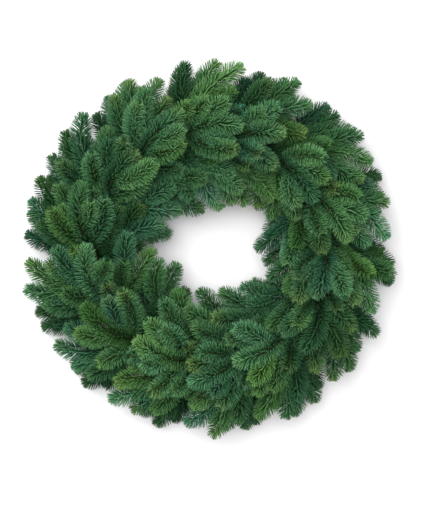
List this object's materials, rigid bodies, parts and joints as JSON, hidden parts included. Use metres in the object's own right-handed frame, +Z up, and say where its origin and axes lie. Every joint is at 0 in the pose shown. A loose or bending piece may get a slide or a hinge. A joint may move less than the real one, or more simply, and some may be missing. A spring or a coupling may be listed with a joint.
{
  "type": "fir wreath",
  "caption": "Round wreath of noble fir: leafy sprigs lie clockwise round an open middle, their stems held in the clamps of a wire ring.",
  "frame": {"origin": "on the surface that the wreath lies on, under the middle of its outline", "axes": "+Z up out of the wreath's front face, +Y to the top of the wreath as hung, +X to its right as the front is seen"},
  "size_m": [0.6065, 0.6078, 0.1124],
  "materials": {
    "frame_wire": "dark green enamel, slightly glossy",
    "fir": "fresh waxy blue-green needles on brown-green twigs"
  },
  "bodies": {
    "root": {"clamp_ring": "frame_wire", "rim_sprig_01": "fir", "rim_sprig_02": "fir", "rim_sprig_03": "fir", "rim_sprig_04": "fir", "rim_sprig_05": "fir", "rim_sprig_06": "fir", "rim_sprig_07": "fir", "rim_sprig_08": "fir", "rim_sprig_09": "fir", "rim_sprig_10": "fir", "rim_sprig_11": "fir", "rim_sprig_12": "fir", "rim_sprig_13": "fir", "rim_sprig_14": "fir", "outer_sprig_01": "fir", "outer_sprig_02": "fir", "outer_sprig_03": "fir", "outer_sprig_04": "fir", "outer_sprig_05": "fir", "outer_sprig_06": "fir", "outer_sprig_07": "fir", "outer_sprig_08": "fir", "outer_sprig_09": "fir", "outer_sprig_10": "fir", "outer_sprig_11": "fir", "outer_sprig_12": "fir", "outer_sprig_13": "fir", "outer_sprig_14": "fir", "crown_sprig_01": "fir", "crown_sprig_02": "fir", "crown_sprig_03": "fir", "crown_sprig_04": "fir", "crown_sprig_05": "fir", "crown_sprig_06": "fir", "crown_sprig_07": "fir", "crown_sprig_08": "fir", "crown_sprig_09": "fir", "crown_sprig_10": "fir", "crown_sprig_11": "fir", "crown_sprig_12": "fir", "crown_sprig_13": "fir", "crown_sprig_14": "fir", "inner_sprig_01": "fir", "inner_sprig_02": "fir", "inner_sprig_03": "fir", "inner_sprig_04": "fir", "inner_sprig_05": "fir", "inner_sprig_06": "fir", "inner_sprig_07": "fir", "inner_sprig_08": "fir", "inner_sprig_09": "fir", "inner_sprig_10": "fir", "inner_sprig_11": "fir", "inner_sprig_12": "fir", "inner_sprig_13": "fir", "inner_sprig_14": "fir"}
  },
  "joints": []
}
